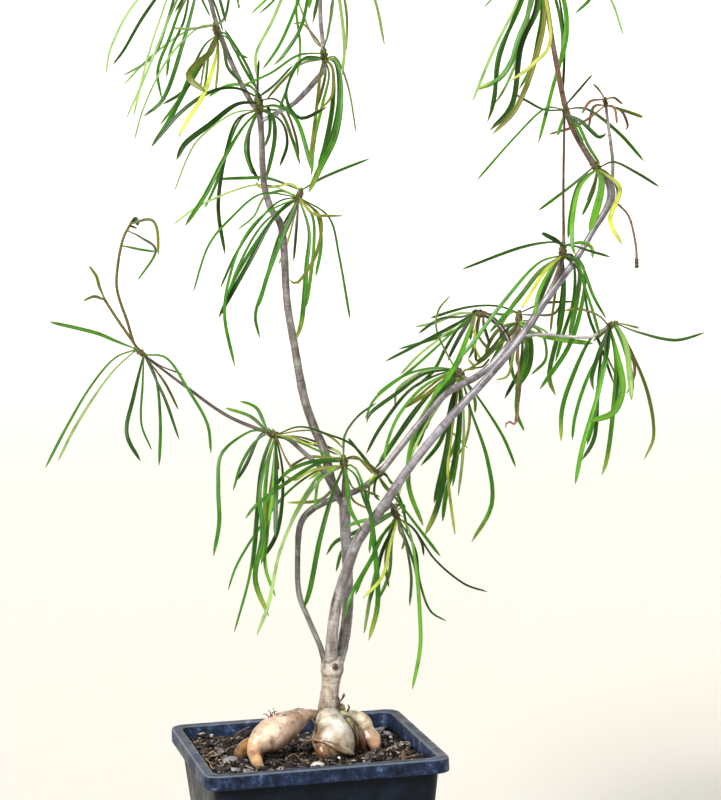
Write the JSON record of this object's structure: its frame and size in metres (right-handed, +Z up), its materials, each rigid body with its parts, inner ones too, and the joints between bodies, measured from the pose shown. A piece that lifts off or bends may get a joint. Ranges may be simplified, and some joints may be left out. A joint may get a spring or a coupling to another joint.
{
  "type": "potted succulent shrub",
  "caption": "Small caudex euphorbia with bare branches and whorls of narrow hanging leaves, in a square nursery pot.",
  "frame": {"origin": "middle of the pot's flat base, on the face that it stands on", "axes": "+Z up through the pot, X and Y along the pot's sides"},
  "size_m": [0.2299, 0.1705, 0.403],
  "materials": {
    "pot_plastic": "black injection-moulded polypropylene, satin and dusty",
    "soil": "dark bark and grit potting mix",
    "bark": "silvery smooth bark, fleshy pink-tan roots",
    "leaf": "smooth satin leaf",
    "dry_leaf": "dry brown leaf",
    "dead_wood": "dry twig",
    "pebble": "small round grit"
  },
  "bodies": {
    "root": {"pot": "pot_plastic", "soil": "soil", "caudex_and_branches": "bark", "tuft_far_left": "leaf", "shoot_far_left_tall": "leaf", "shoot_far_left_short": "leaf", "tuft_left": "leaf", "tuft_fork": "leaf", "tuft_front_low": "leaf", "tuft_back_low": "leaf", "tuft_inner": "leaf", "tuft_mid_left": "leaf", "tuft_mid_right": "leaf", "tuft_upper_left": "leaf", "tuft_top_left": "leaf", "tuft_top_middle": "leaf", "tuft_top_right": "leaf", "tuft_inner_right_a": "leaf", "tuft_inner_right_b": "leaf", "tuft_inner_right_c": "leaf", "tuft_right_mid": "leaf", "tuft_far_right": "leaf", "tuft_right_upper": "leaf", "tuft_right_thin": "leaf", "dry_tuft": "dry_leaf", "dead_spur": "dead_wood", "hanging_twig": "dead_wood", "grey_pebble": "pebble", "white_pebble": "pebble", "tan_rootlet": "dead_wood", "tan_stick": "dead_wood"}
  },
  "joints": []
}
